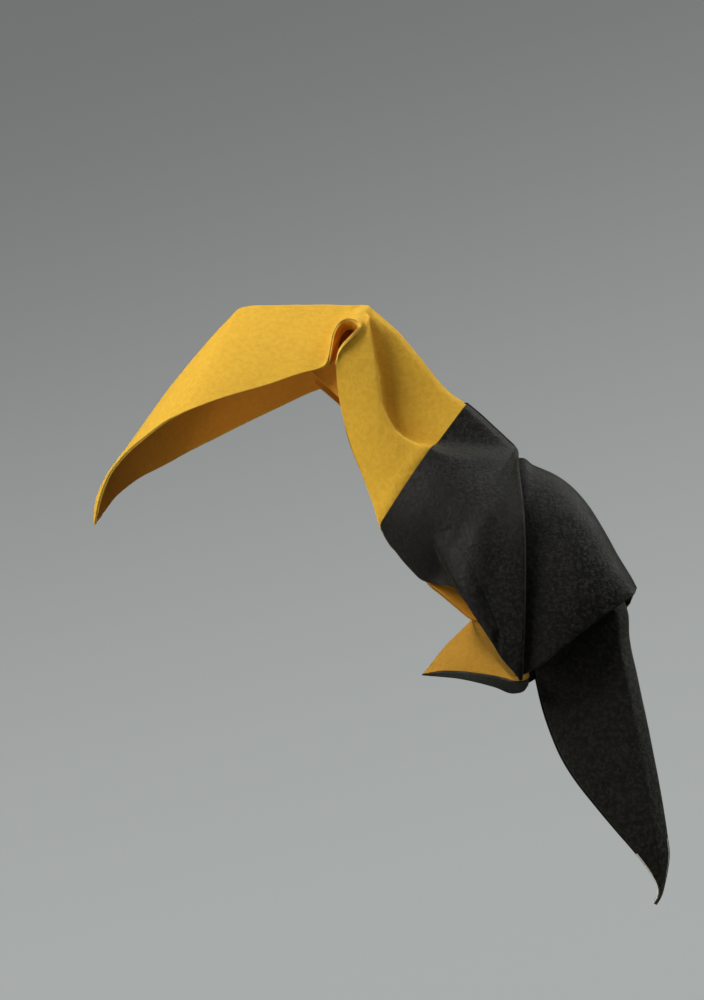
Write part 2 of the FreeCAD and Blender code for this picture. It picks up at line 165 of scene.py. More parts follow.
def facet(first, second):
    """Grid of a facet between two lines of points."""
    lines = spline(first, FACET_COUNT), spline(second, FACET_COUNT)
    return as_grid(between_lines(*lines, row_shares(FACET_ACROSS)))


def both_sides(grid):
    """Grid from the far edge over the top to the near edge, from a near half that meets it."""
    return np.concatenate([grid[:, :0:-1] * MIRROR, grid], axis=1)


def pair(grid):
    """Grid of the near side and its mirror image, both with their faces outwards."""
    return [grid, (grid * MIRROR)[:, ::-1]]


def outward(grid):
    """Unit normals of a grid, out of the body."""
    normal = np.cross(np.gradient(grid, axis=1), np.gradient(grid, axis=0))
    return normal / np.maximum(np.linalg.norm(normal, axis=2, keepdims=True), 1e-9)


def inside(grid, depth):
    """Grid moved towards the inside of the body by a depth."""
    return grid - outward(grid) * depth


def undulate(grid, seed, height=UNEVENNESS):
    """Grid with the slow, slight unevenness of wet-folded paper."""
    heights = np.zeros(grid.shape[:2])
    for place in np.ndindex(heights.shape):
        point = Vector(grid[place])
        wave = noise.noise(point / WAVE + Vector((seed, 0, 0)))
        ripple = noise.noise(point / RIPPLE + Vector((0, seed, 0)))
        heights[place] = wave * height + ripple * RIPPLE_SHARE * height
    return grid + outward(grid) * heights[:, :, None]


def whole(grid, seed, softness=1.0, height=UNEVENNESS):
    """Softened, uneven grid of both sides, from a near half that meets its mirror image."""
    grid = blur(grid, 1.0, 0)
    grid = blur(grid, softness, 1, mirrored_start=True)
    return undulate(both_sides(grid), seed, height)


# --- sheets --------------------------------------------------------------------------------------

def sheet(name, grids, face, reverse, rim, thickness=PAPER):
    """One piece of the folded sheet, thickened inwards from grids of points in millimetres."""
    points = []
    faces = []
    for grid in grids:
        start = len(points)
        rows, columns = grid.shape[:2]
        points += [tuple(point * MM) for point in grid.reshape(-1, 3)]
        for i in range(rows - 1):
            for j in range(columns - 1):
                corner = start + i * columns + j
                faces.append((corner, corner + 1, corner + columns + 1, corner + columns))
    mesh = bpy.data.meshes.new(name)
    mesh.from_pydata(points, [], faces)
    mesh.polygons.foreach_set("use_smooth", [True] * len(faces))
    for material in (face, reverse, rim):
        mesh.materials.append(material)
    piece = bpy.data.objects.new(name, mesh)
    bpy.context.collection.objects.link(piece)
    weld = piece.modifiers.new("Weld", "WELD")
    weld.merge_threshold = WELD_REACH * MM
    thick = piece.modifiers.new("Thick", "SOLIDIFY")
    thick.thickness = thickness * MM
    thick.offset = -1.0
    thick.material_offset = 1
    thick.material_offset_rim = 2
    soft = piece.modifiers.new("Soft", "BEVEL")
    soft.width = RIM_ROUNDING * thickness * MM
    soft.segments = 2
    soft.limit_method = "ANGLE"
    soft.angle_limit = math.radians(RIM_ANGLE)
    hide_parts("folded_sheet")
    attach(piece, "root")


# --- materials -----------------------------------------------------------------------------------

# scales of the paper's grain, in cycles a millimetre
MOTTLE_SCALE = 0.75
PATCH_SCALE = 1.1
FELT_SCALE = 1.3
FINE_SCALE = 5.0
FINE_SHARE = 0.3           # height of the fine grain, as a share of the felt's
# scale of a grain, its turn, how it is squeezed, and how wide its middle values make a fibre
STRANDS = [
    (1.3, (0.4, 0.9, 0.2), (1.0, 2.8, 2.8), 0.04),
    (1.2, (1.3, 0.3, 1.1), (3.0, 1.0, 2.6), 0.035),
]
STRAND_CURL = 0.9
STRAND_HEIGHT = 0.4        # height of full fibres, as a share of the felt's
RELIEF = 0.35              # height of the felt's bumps at full strength
ROUGHNESS_SPREAD = 0.06    # how far the mottle moves the roughness up and down
SHEEN_ROUGHNESS = 0.45


def paper(name, dark, light, fibre, fibre_amount, bump, specular, roughness, sheen, sheen_tint):
    """Felt-like handmade paper: a mottled colour, short curved fibres and a soft grain."""
    material = bpy.data.materials.new(name)
    material.use_nodes = True
    nodes, links = material.node_tree.nodes, material.node_tree.links
    shader = nodes["Principled BSDF"]
    place = nodes.new("ShaderNodeTexCoord")
    in_mm = nodes.new("ShaderNodeMapping")
    in_mm.inputs["Scale"].default_value = (1 / MM, 1 / MM, 1 / MM)
    links.new(place.outputs["Object"], in_mm.inputs["Vector"])

    def grain(scale, detail, coarseness=0.5, distortion=0.0, source=in_mm):
        """Values of a noise in the paper, from 0 to 1 with 0.5 as their middle."""
        texture = nodes.new("ShaderNodeTexNoise")
        texture.inputs["Scale"].default_value = scale
        texture.inputs["Detail"].default_value = detail
        texture.inputs["Roughness"].default_value = coarseness
        texture.inputs["Distortion"].default_value = distortion
        links.new(source.outputs["Vector"], texture.inputs["Vector"])
        return texture.outputs["Fac"]

    def between(value, low, high, to_low=0.0, to_high=1.0):
        """Smooth step of a value between two limits."""
        node = nodes.new("ShaderNodeMapRange")
        node.interpolation_type = "SMOOTHSTEP"
        node.inputs["From Min"].default_value = low
        node.inputs["From Max"].default_value = high
        node.inputs["To Min"].default_value = to_low
        node.inputs["To Max"].default_value = to_high
        links.new(value, node.inputs["Value"])
        return node.outputs["Result"]

    def combine(kind, *values):
        """One step of arithmetic on values, each a number or a socket."""
        node = nodes.new("ShaderNodeMath")
        node.operation = kind
        for socket, value in zip(node.inputs, values):
            if isinstance(value, float):
                socket.default_value = value
            else:
                links.new(value, socket)
        return node.outputs["Value"]

    def mix(factor, first, second):
        """Blend of two colours, each a colour or a socket."""
        node = nodes.new("ShaderNodeMix")
        node.data_type = "RGBA"
        links.new(factor, node.inputs["Factor"])
        for socket, value in (("A", first), ("B", second)):
            if isinstance(value, tuple):
                node.inputs[socket].default_value = (*value, 1.0)
            else:
                links.new(value, node.inputs[socket])
        return node.outputs["Result"]

    def strands(scale, turn, squeeze, width):
        """Thin curved lines where a squeezed grain crosses its middle value."""
        squeezed = nodes.new("ShaderNodeMapping")
        squeezed.inputs["Rotation"].default_value = turn
        squeezed.inputs["Scale"].default_value = squeeze
        links.new(in_mm.outputs["Vector"], squeezed.inputs["Vector"])
        value = grain(scale, 2.0, 0.5, STRAND_CURL, squeezed)
        off_middle = combine("ABSOLUTE", combine("SUBTRACT", value, 0.5))
        return between(off_middle, 0.0, width, 1.0, 0.0)

    mottle = between(grain(MOTTLE_SCALE, 4.0, 0.6), 0.32, 0.68)
    fibres = combine("MAXIMUM", *[strands(*values) for values in STRANDS])
    patches = between(grain(PATCH_SCALE, 2.0), 0.42, 0.62)
    fibres = combine("MULTIPLY", fibres, patches)
    colour = mix(combine("MULTIPLY", fibres, fibre_amount), mix(mottle, dark, light), fibre)
    links.new(colour, shader.inputs["Base Color"])

    fine = combine("MULTIPLY", grain(FINE_SCALE, 2.0), FINE_SHARE)
    felt = combine("ADD", grain(FELT_SCALE, 5.0, 0.68), fine)
    height = combine("ADD", felt, combine("MULTIPLY", fibres, STRAND_HEIGHT * fibre_amount))
    surface = nodes.new("ShaderNodeBump")
    surface.inputs["Strength"].default_value = bump
    surface.inputs["Distance"].default_value = RELIEF * MM
    links.new(height, surface.inputs["Height"])
    links.new(surface.outputs["Normal"], shader.inputs["Normal"])

    rough = between(mottle, 0.0, 1.0, roughness - ROUGHNESS_SPREAD, roughness + ROUGHNESS_SPREAD)
    links.new(rough, shader.inputs["Roughness"])
    shader.inputs["Specular IOR Level"].default_value = specular
    shader.inputs["Sheen Weight"].default_value = sheen
    shader.inputs["Sheen Roughness"].default_value = SHEEN_ROUGHNESS
    shader.inputs["Sheen Tint"].default_value = (*sheen_tint, 1.0)
    return material


YELLOW = paper("yellow_paper", dark=(0.775, 0.425, 0.032), light=(0.845, 0.5, 0.046),
               fibre=(0.93, 0.64, 0.12), fibre_amount=0.3, bump=0.65,
               specular=0.2, roughness=0.85, sheen=0.08, sheen_tint=(1.0, 0.8, 0.35))
# Painted shade: a deeper, redder orange for the yellow paper in shadow inside folds and between
# layers
YELLOW_INSIDE_PAINTED_SHADE = paper("yellow_inside_painted_shade", dark=(0.80, 0.32, 0.026), light=(0.84, 0.35, 0.032),
                      fibre=(0.9, 0.48, 0.08), fibre_amount=0.25, bump=0.5,
                      specular=0.2, roughness=0.85, sheen=0.04, sheen_tint=(1.0, 0.7, 0.4))
# Painted shade: yellow paper darkened for the shadow that the chest and wings cast on the belly
# and the foot
YELLOW_FOOT_PAINTED_SHADE = paper("yellow_foot_painted_shade", dark=(0.44, 0.22, 0.02), light=(0.5, 0.255, 0.028),
                    fibre=(0.6, 0.36, 0.07), fibre_amount=0.25, bump=0.6,
                    specular=0.2, roughness=0.85, sheen=0.12, sheen_tint=(1.0, 0.8, 0.35))
# Painted shade: a dark red-brown for the deep shadow inside the eye's pocket
YELLOW_DEEP_PAINTED_SHADE = paper("yellow_deep_painted_shade", dark=(0.36, 0.085, 0.01), light=(0.42, 0.11, 0.013),
                    fibre=(0.5, 0.2, 0.03), fibre_amount=0.25, bump=0.5,
                    specular=0.1, roughness=0.85, sheen=0.0, sheen_tint=(1.0, 0.7, 0.4))
# Painted highlight: the yellow sheets' rims are lighter and shinier, for the light that catches
# their cut edges
YELLOW_EDGE_PAINTED_HIGHLIGHT = paper("yellow_edge_painted_highlight", dark=(0.84, 0.50, 0.05), light=(0.92, 0.60, 0.10),
                    fibre=(0.95, 0.68, 0.18), fibre_amount=0.3, bump=0.3,
                    specular=0.2, roughness=0.85, sheen=0.2, sheen_tint=(1.0, 0.85, 0.5))
BLACK = paper("black_paper", dark=(0.0016, 0.0014, 0.0008), light=(0.0034, 0.003, 0.002),
              fibre=(0.045, 0.04, 0.029), fibre_amount=0.35, bump=0.65,
              specular=0.16, roughness=0.37, sheen=0.15, sheen_tint=(0.75, 0.79, 0.62))
# Painted light: a lighter black with more sheen, for the light that the tail's outer face catches
BLACK_TAIL_PAINTED_LIGHT = paper("black_tail_painted_light", dark=(0.006, 0.0055, 0.004), light=(0.011, 0.010, 0.0075),
                   fibre=(0.05, 0.044, 0.032), fibre_amount=0.35, bump=0.65,
                   specular=0.16, roughness=0.37, sheen=0.3, sheen_tint=(0.75, 0.79, 0.62))
BLACK_EDGE = paper("black_edge", dark=(0.02, 0.018, 0.013), light=(0.04, 0.038, 0.03),
                   fibre=(0.08, 0.075, 0.06), fibre_amount=0.5, bump=0.6,
                   specular=0.3, roughness=0.45, sheen=0.1, sheen_tint=(0.7, 0.7, 0.62))
CREAM = paper("cream_reverse", dark=(0.55, 0.53, 0.46), light=(0.66, 0.64, 0.56),
              fibre=(0.7, 0.68, 0.6), fibre_amount=0.3, bump=0.4,
              specular=0.2, roughness=0.85, sheen=0.05, sheen_tint=(1.0, 1.0, 0.95))


# --- head: beak, eye and neck are one sheet with a free edge that runs round the eye -------------

# top x, z, half; edge x, z, half; bow of the cheek, share of the neck's shape, place of its lip,
# half at the lip, flare of the edge
HEAD_ROWS = [
    (-95.7, 39.6, 0, -95.2, 41.0, 1.3, 0.1, 0, 0.4, 6, 0),
    (-95.75, 43.0, 0, -94.2, 43.9, 4.0, 0.3, 0, 0.4, 6, 0),
    (-95.0, 47.6, 0, -92.1, 48.5, 7.6, 0.6, 0, 0.4, 6, 0),
    (-93.5, 51.2, 0, -90.3, 51.2, 10.0, 0.8, 0, 0.4, 6, 0),
    (-89.8, 57.2, 0, -86.1, 55.3, 13.0, 1.0, 0, 0.4, 6, 0),
    (-85.4, 63.4, 0, -82.2, 57.9, 15.2, 1.1, 0, 0.4, 6, 0),
    (-79.3, 72.4, 0, -79.0, 59.9, 16.7, 1.1, 0, 0.4, 6, 0),
    (-72.0, 82.2, 0, -75.9, 61.9, 17.6, 1.0, 0, 0.4, 6, 0),
    (-64.0, 91.7, 0, -73.3, 63.3, 17.9, 0.9, 0, 0.4, 6, 0),
    (-61.2, 94.8, 0, -72.0, 63.9, 17.9, 0.8, 0, 0.4, 6, 0),
    (-59.2, 96.9, 0, -70.4, 64.7, 17.8, 0.8, 0, 0.4, 6, 0),
    (-56.6, 97.6, 0, -67.6, 65.9, 17.5, 0.8, 0, 0.4, 6, 0),
    (-51.0, 97.7, 0, -61.8, 68.4, 16.0, 0.7, 0, 0.4, 6, 0),
    (-44.0, 97.7, 0, -49.7, 73.1, 12.2, 0.5, 0, 0.4, 6, 0),
    (-37.5, 97.6, 0, -41.0, 76.6, 10.2, 0.2, 0, 0.4, 6, 0),
    (-33.8, 97.5, 0, -37.0, 77.9, 9.2, 0.0, 0, 0.4, 6, 0.1),
    (-32.2, 97.35, 0, -35.7, 78.7, 9.0, -0.2, 0, 0.4, 6, 0.3),
    (-30.6, 97.35, 0, -35.3, 80.7, 8.8, -0.4, 0, 0.4, 6, 0.5),
    (-28.9, 97.3, 0, -34.8, 83.9, 8.5, -0.7, 0, 0.4, 6, 0.6),
    (-27.4, 97.3, 0, -34.2, 87.0, 8.2, -0.9, 0, 0.4, 6, 0.6),
    (-26.3, 97.3, 0, -33.1, 89.4, 8.1, -0.4, 0, 0.4, 6, 0.4),
    (-25.7, 97.25, 0, -31.4, 90.9, 8.2, 0.3, 0, 0.4, 6, 0.2),
    (-25.3, 97.15, 0, -29.2, 91.0, 8.6, 0.5, 0, 0.4, 6, 0.2),
    (-24.9, 96.95, 0, -27.6, 90.3, 9.0, 0.5, 0.0, 0.4, 7.0, 0.2),
    (-24.4, 96.5, 0, -26.7, 89.3, 9.2, 0.4, 0.15, 0.38, 7.2, 0.3),
    (-23.7, 95.8, 0, -26.8, 88.0, 9.4, 0.2, 0.5, 0.37, 7.4, 0.5),
    (-22.7, 94.9, 0, -28.2, 86.3, 9.6, 0.0, 0.85, 0.36, 7.6, 0.8),
    (-21.5, 93.8, 0, -29.8, 84.5, 9.6, 0.0, 1.0, 0.36, 7.6, 0.9),
    (-20.0, 92.4, 0, -31.6, 82.7, 9.5, 0.0, 1.0, 0.37, 7.9, 0.8),
    (-18.6, 91.1, 0, -32.6, 81.0, 9.4, 0.0, 1.0, 0.38, 8.4, 0.5),
    (-17.1, 89.7, 0, -33.1, 79.0, 9.1, 0.0, 1.0, 0.41, 8.5, 0.2),
    (-15.6, 87.9, 0, -33.0, 75.9, 8.4, 0.0, 1.0, 0.44, 8.6, 0),
    (-14.0, 85.8, 0, -32.6, 71.7, 7.5, 0.0, 1.0, 0.46, 8.5, 0),
    (-11.4, 82.4, 0, -31.7, 66.2, 6.6, 0.0, 1.0, 0.52, 8.3, 0),
    (-8.7, 78.8, 0, -29.9, 59.8, 5.2, 0.0, 1.0, 0.575, 8.0, 0),
    (-5.8, 75.1, 0, -27.0, 52.2, 3.9, 0.0, 1.0, 0.56, 7.4, 0),
    (-2.6, 72.3, 0, -24.4, 45.0, 2.9, 0.0, 1.0, 0.48, 7.2, 0),
    (0.5, 70.2, 0, -22.3, 38.2, 2.2, 0.0, 1.0, 0.385, 7.1, 0),
    (1.6, 69.2, 0, -21.6, 36.8, 1.8, 0.0, 1.0, 0.37, 6.4, 0),
]
HEAD_COUNT, HEAD_ACROSS = 260, 74
CREST = 1.3                # half of the nape's narrow crest
CREST_RUN = 1.6            # how far down a cut the crest rounds over
HOLLOW_START = 0.05        # where the hollow beside the crest starts, as a share of a cut
HOLLOW_FLOOR = 1.6         # how much further out the hollow's floor lies at the foot of the lip
LIP_SHARPNESS = 50         # how suddenly the hollow's floor rises to the lip
LIP_FALL = 1.6             # how slowly the paper starts to fall from the lip to its edge
NECK_BOW, LOW_NECK_BOW = 1.6, 1.0      # bow of the neck, and what is added low on the neck
UNDERCUT = 1.5             # how far the hollow runs on under the lip
UNDERCUT_GAP = 0.004       # what stays in place before the lip, as a share of a cut
UNDERCUT_RUN = 0.055       # what is pulled under the lip, as a share of a cut
CURL_RUN = 1.6             # width of the edge's flared strip


def crest_half(across, length):
    """Half widths over the nape's crest."""
    return CREST * np.minimum(across * length / CREST_RUN, 1.0)


def lipped(across, crest, edge_half, lip, lip_half, bow, skew=1.0):
    """Half widths through the hollow beside the crest, out to the lip and on to the edge."""
    into = np.clip((across - HOLLOW_START) / max(lip - HOLLOW_START, 0.02), 0, 1)
    to_lip = lip_half - CREST - HOLLOW_FLOOR
    hollow = crest + HOLLOW_FLOOR * into + to_lip * into ** LIP_SHARPNESS
    beyond = np.clip((across - lip) / (1 - lip), 0, 1)
    fall = (edge_half - lip_half) * beyond ** (LIP_FALL * skew)
    return hollow + fall + bow * skew * beyond ** skew * (1 - beyond)


def head_half(across, row):
    """Half widths along a cut of the head: a bowed cheek, or the neck's crest, hollow and lip."""
    edge_half, bow, neck, lip, lip_half, flare = row[5:]
    length = cut_length(row)
    cheek = edge_half * across + 3 * bow * across * (1 - across)
    neck_bow = NECK_BOW + LOW_NECK_BOW * step(53.0, 38.0, row[4])
    column = lipped(across, crest_half(across, length), edge_half, lip, lip_half, neck_bow)
    curl = flare * step(1 - CURL_RUN / max(length, 2 * CURL_RUN), 1.0, across)
    return (1 - neck) * cheek + neck * column + curl


def undercut(grid, rows, across):
    """Grid whose points before the lip are drawn on under it, along each row's cut."""
    cut = rows[:, 3:5] - rows[:, 0:2]
    cut /= np.linalg.norm(cut, axis=1)[:, None]
    before_lip = rows[:, 8][:, None] - across[None, :]
    under = UNDERCUT * np.exp(-(before_lip / UNDERCUT_RUN) ** 2)
    under = np.where(before_lip > UNDERCUT_GAP, under, 0.0)
    under *= rows[:, 7][:, None]
    grid[:, :, 0] += under * cut[:, 0][:, None]
    grid[:, :, 2] += under * cut[:, 1][:, None]
    return grid


head_rows = spline(HEAD_ROWS, HEAD_COUNT)
head_rows[:, 7] = np.clip(head_rows[:, 7], 0, 1)
head_across = np.linspace(0.0, 1.0, HEAD_ACROSS)
head = undercut(near_half(head_rows, head_across, head_half), head_rows, head_across)
head = whole(head, 3.0, softness=0.7)
sheet("head", [head], YELLOW, YELLOW, YELLOW_EDGE_PAINTED_HIGHLIGHT, LAYER)

# the lining lies a layer further in, keeps below the ridge and draws in from the hood on
HOOD_ROWS = (148, 165)     # rows of the lining over which it draws in
HOOD_INSET = 0.08          # how far it draws in, as a share of its half
RIDGE_DROP = 0.7           # how far it keeps below the ridge
RIDGE_COLUMNS = 3.0        # how many columns beside the ridge do
lining = inside(head, LAYER + HAIRLINE)[1:, 1:-1]
from_ridge = np.arange(lining.shape[1]) - lining.shape[1] // 2
lining[:, :, 2] -= RIDGE_DROP * np.exp(-(from_ridge / RIDGE_COLUMNS) ** 2)
inset = HOOD_INSET * step(*HOOD_ROWS, np.arange(lining.shape[0]))[:, None]
inset = inset * (1 - (np.abs(from_ridge) / (HEAD_ACROSS - 1)) ** 4)
lining[:, :, 1] *= 1 - inset
# the lining's reverse face is painted shade, standing in for the shadowed inside of the beak
sheet("head_lining", [lining], YELLOW, YELLOW_INSIDE_PAINTED_SHADE, YELLOW_EDGE_PAINTED_HIGHLIGHT, LAYER)

# --- eye: the rolled paper goes on inwards from the rim and closes behind the mouth --------------

EYE_FLOOR = (-28.4, 87.2, 0.8)         # point that the pocket closes to
EYE_RIM = [(-35.5, 78.9, 8.6), (-35.0, 81.0, 8.3), (-34.5, 83.9, 8.0), (-33.9, 87.0, 7.7),
           (-32.9, 89.0, 7.6), (-31.3, 90.4, 7.7), (-29.5, 90.4, 8.1), (-28.1, 89.6, 8.5),
           (-27.3, 88.5, 8.8), (-27.5, 87.6, 9.0), (-28.6, 86.2, 9.1), (-30.1, 84.4, 9.1),
           (-31.9, 82.4, 9.0), (-32.9, 80.8, 8.9), (-33.4, 79.0, 8.6)]
ROLL_END = 0.26            # how far in the roll shows its own yellow, as a share of its depth
# the pocket's dark colour is painted shade
POCKET_START, POCKET_END = 0.25, 0.96  # the dark pocket behind it


def eye_half(across, row):
    """Half widths of the pocket behind the eye's mouth."""
    return row[2] + (row[5] - row[2]) * (1 - (1 - across) ** 4)


eye_rows = np.array([(*rim, *EYE_FLOOR) for rim in spline(EYE_RIM, 60)])
rolls = near_half(eye_rows, np.linspace(0.0, ROLL_END, 10), eye_half)
sheet("eye_rolls", pair(rolls), YELLOW, YELLOW, YELLOW_EDGE_PAINTED_HIGHLIGHT, LAYER)
pockets = near_half(eye_rows, np.linspace(POCKET_START, POCKET_END, 20), eye_half)
sheet("eye_pockets", pair(pockets), YELLOW_DEEP_PAINTED_SHADE, YELLOW_DEEP_PAINTED_SHADE, YELLOW_DEEP_PAINTED_SHADE, LAYER)

# --- throat: the web of paper folded in between beak and neck ------------------------------------

WEB_EDGE = [(-39.6, 77.6, 5.6), (-37.4, 75.6, 5.0), (-35.2, 73.6, 4.8), (-32.4, 71.0, 4.8)]
WEB_TOP = [(-37.2, 84.0, 5.0), (-35.2, 84.6, 5.4), (-32.8, 84.0, 6.0), (-30.0, 82.0, 6.6)]
web = facet(WEB_TOP, WEB_EDGE)
# the web's colour is painted shade on both faces
sheet("throat_web", pair(web), YELLOW_INSIDE_PAINTED_SHADE, YELLOW_INSIDE_PAINTED_SHADE, YELLOW_EDGE_PAINTED_HIGHLIGHT, LAYER)

# --- cape and wings: one black sheet over the yellow one, with a free front flap on each wing ----

# top x, z, half; edge x, z, half; bow, share of the neck's shape, place of its lip, half there
WING_ROWS = [
    (0.3, 70.5, 0, -22.4, 38.4, 1.6, 4.0, 1.0, 0.385, 7.1),
    (2.2, 68.9, 0, -21.2, 35.8, 1.2, 9.0, 1.0, 0.35, 6.8),
    (4.4, 66.9, 0, -19.5, 33.0, 1.1, 15.0, 1.0, 0.292, 6.3),
    (6.8, 64.5, 0, -17.0, 29.5, 1.2, 20.0, 1.0, 0.223, 5.7),
    (8.8, 62.5, 0, -14.2, 26.4, 1.5, 24.0, 1.0, 0.166, 5.0),
    (10.4, 60.9, 0, -12.0, 24.2, 2.2, 28.0, 1.0, 0.123, 4.3),
    (11.6, 59.7, 0, -9.4, 23.1, 4.6, 30.0, 0.9, 0.09, 3.4),
    (12.3, 58.8, 0.2, -6.2, 22.3, 8.6, 30.0, 0.6, 0.063, 2.2),
    (12.8, 57.8, 0.8, -3.6, 21.0, 12.2, 24.0, 0.0, 0.05, 1.5),
    (13.0, 56.4, 2.0, -2.2, 18.8, 13.0, 21.0, 0.0, 0.05, 1.5),
    (12.9, 54.6, 4.2, -1.0, 16.7, 13.4, 17.0, 0, 0.05, 1.5),
    (12.9, 51.6, 6.9, 0.3, 14.5, 13.6, 13.0, 0, 0.05, 1.5),
    (13.2, 47.6, 9.8, 1.5, 12.4, 13.8, 8.0, 0, 0.05, 1.5),
    (13.6, 43.1, 11.8, 2.8, 10.4, 13.8, 5.0, 0, 0.05, 1.5),
    (13.9, 36.0, 13.4, 4.2, 8.2, 13.9, 2.6, 0, 0.05, 1.5),
    (14.0, 28.0, 14.1, 5.7, 5.8, 13.9, 1.4, 0, 0.05, 1.5),
    (13.8, 19.0, 14.3, 7.2, 3.2, 13.8, 0.8, 0, 0.05, 1.5),
    (13.4, 9.5, 14.2, 9.0, 0.9, 13.6, 0.4, 0, 0.05, 1.5),
    (12.9, 2.0, 13.7, 10.9, -1.2, 13.3, 0.1, 0, 0.05, 1.5),
    (12.5, -2.5, 13.1, 12.1, -2.8, 13.0, 0.0, 0, 0.05, 1.5),
]
WING_COUNT, WING_ACROSS = 260, 72
LAP_RUN = 1.0              # how far down a cut the black sheet rises to its lap
IN_PLANE = 0.02            # tops closer to the middle plane than this lie in it
PLEAT_TOP, PLEAT_LOW = np.array((-8.8, 31.2)), np.array((-3.4, 20.9))    # x, z of the pleat's line
PLEAT_DIP = 4.5            # depth of the pleat's recess
PLEAT_FRONT, PLEAT_REAR = 5.2, 1.6     # its reach before and behind the line
FLAP_ROWS = 0.74           # how far down the wing's rows the front flap runs, as a share
FLAP_START = -0.12         # rows that meet the pleat's line above this share of it have no flap
FLAP_WIDTH, FLAP_ACROSS = 22, 46       # the flap's width in the wing's columns, its own columns
FLAP_SUNK = 0.75           # how far its rear lies inside the wing's face
FLAP_RISE = 0.8            # how far its front stands out of that face
FLAP_EDGE_FALL = 0.7       # how far it falls back towards its free edge
FOLD_BACK = 3.0            # how far the rear fold turns forwards under the wing
FOLD_INWARD = 1.9          # how far it turns in
FOLD_ROOM = 7.0            # width of wing that takes the whole fold
FAR_SHIFT_X, FAR_SHIFT_Z = 2.0, 0.8    # how far the far side's front edge lies back and up


def wing_half(across, row):
    """Half widths along a cut of the cape or the wing, with the lip that goes on from the neck."""
    top_half, edge_z, edge_half, bow, neck, lip, lip_half = row[2], *row[4:]
    length = cut_length(row)
    skew = 1 + 0.3 * step(36.0, 31.0, edge_z) * (1 - step(24.0, 20.0, edge_z))
    bowed = bow * skew * across ** skew * (1 - across)
    plain = top_half + (edge_half - top_half) * across ** skew + bowed
    shaped = lipped(across, crest_half(across, length), edge_half, lip, lip_half, bow, skew)
    lap = LAP * np.minimum(across * length / LAP_RUN, 1.0)
    return (1 - neck) * plain + neck * shaped + lap


def pleat_place(grid):
    """How far each point lies along the pleat's line, from 0 to 1, and how far behind it."""
    line = PLEAT_LOW - PLEAT_TOP
    length = np.linalg.norm(line)
    offset = grid[:, :, (0, 2)] - PLEAT_TOP
    along = offset @ line / length ** 2
    beside = (offset[:, :, 0] * -line[1] + offset[:, :, 1] * line[0]) / length
    return along, beside


def front_flap(grid, along, beside):
    """Flap that rises out of the wing and ends in the pleat's line and the wing's front edge."""
    columns = np.arange(WING_ACROSS)
    rows = []
    for row, row_along, row_beside in zip(grid[:int(FLAP_ROWS * WING_COUNT)], along, beside):
        # columns that lie before the pleat's line, apart from those near the wing's rear
        past = np.where((row_beside < 0) & (columns > WING_ACROSS // 3))[0]
        if len(past) and row_along[past[0]] < FLAP_START:
            continue
        end = WING_ACROSS - 1.0
        if len(past) and row_along[past[0]] < 1.0:
            before, after = row_beside[past[0] - 1], row_beside[past[0]]
            end = past[0] - 1 + before / (before - after)
        taken = np.linspace(end - FLAP_WIDTH, end, FLAP_ACROSS)
        rows.append(np.array([np.interp(taken, columns, row[:, axis]) for axis in range(3)]).T)
    flap_grid = blur(np.array(rows), 1.0, 0)
    down = column_shares(flap_grid.shape[0])
    forwards = row_shares(flap_grid.shape[1])
    risen = (FLAP_SUNK + FLAP_RISE * step(0.0, 0.12, down)) * step(0.0, 0.88, forwards)
    lift = -FLAP_SUNK + risen - FLAP_EDGE_FALL * step(0.88, 1.06, forwards)
    return flap_grid + outward(flap_grid) * (lift * (1 - step(0.85, 1.0, down)))


def pleat_dip(grid, along, beside):
    """How far the wing dips in at the pleat, at most to just short of the middle plane."""
    reach = np.maximum(-beside, 0) / PLEAT_FRONT + np.maximum(beside, 0) / PLEAT_REAR
    dip = PLEAT_DIP * step(-0.25, 0.7, along) * np.exp(-reach ** 2) * (1 - step(1.05, 1.6, along))
    return np.minimum(dip, np.maximum(-grid[:, :, 1] - 1.0, 0.0))


def folded_under(grid):
    """Grid whose rear fold turns in and runs on forwards under the wing."""
    fold = grid[:, :1]
    inward = FOLD_INWARD * np.minimum(1.0, 0.6 * np.abs(fold[:, :, 1]))
    room = np.clip((np.linalg.norm(grid[:, -1:] - fold, axis=2) - 0.5) / FOLD_ROOM, 0.0, 1.0)
    turned = []
    for share in np.linspace(0.0, 1.0, 10)[1:]:
        shift = np.zeros_like(fold)
        shift[:, :, 0] = 0.3 * math.sin(math.pi * share) - FOLD_BACK * room * share ** 2
        shift[:, :, 1] = inward * step(0.0, 0.6, share)
        turned.append(fold + shift)
    return blur(np.concatenate(turned[::-1] + [grid], axis=1), 0.7, 1)


def far_wing(grid, edge_share):
    """Far side of a wing's grid, whose front edge lies a little further back and up.

    The edge's share of a row, from edge_share on, is what moves.
    """
    far = grid * MIRROR
    share = step(edge_share, 1.0, np.linspace(0.0, 1.0, grid.shape[1]))[None, :]
    share = share * step(4.0, 12.0, far[:, :, 2]) * (1 - step(26.0, 34.0, far[:, :, 2]))
    far[:, :, 0] += FAR_SHIFT_X * share
    far[:, :, 2] += FAR_SHIFT_Z * share
    return far[:, ::-1]


wing_rows = spline(WING_ROWS, WING_COUNT)
wing_rows[:, 2] = np.maximum(wing_rows[:, 2], 0.0)
wing_rows[:, 7] = np.clip(wing_rows[:, 7], 0, 1)
in_plane = wing_rows[:, 2] < IN_PLANE
wing = near_half(wing_rows, np.linspace(0.0, 1.0, WING_ACROSS), wing_half)
wing = blur(blur(wing, 1.3, 0), 1.2, 1)
wing[:, :, 1] = blur(wing, 6.0, 0)[:, :, 1]
wing[in_plane, 0, 1] = 0.0
wing = undulate(wing, 7.0)
wing[in_plane, 0, 1] = 0.0

along, beside = pleat_place(wing)
flap = front_flap(wing, along, beside)
wing[:, :, 1] += pleat_dip(wing, along, beside)
wing = folded_under(wing)
sheet("cape_and_wings", [wing, far_wing(wing, 0.6)], BLACK, BLACK, BLACK_EDGE)
sheet("wing_flaps", [flap, far_wing(flap, 0.0)], BLACK, BLACK, BLACK_EDGE)

# --- back: rounded panels from under the wings to the back corner --------------------------------

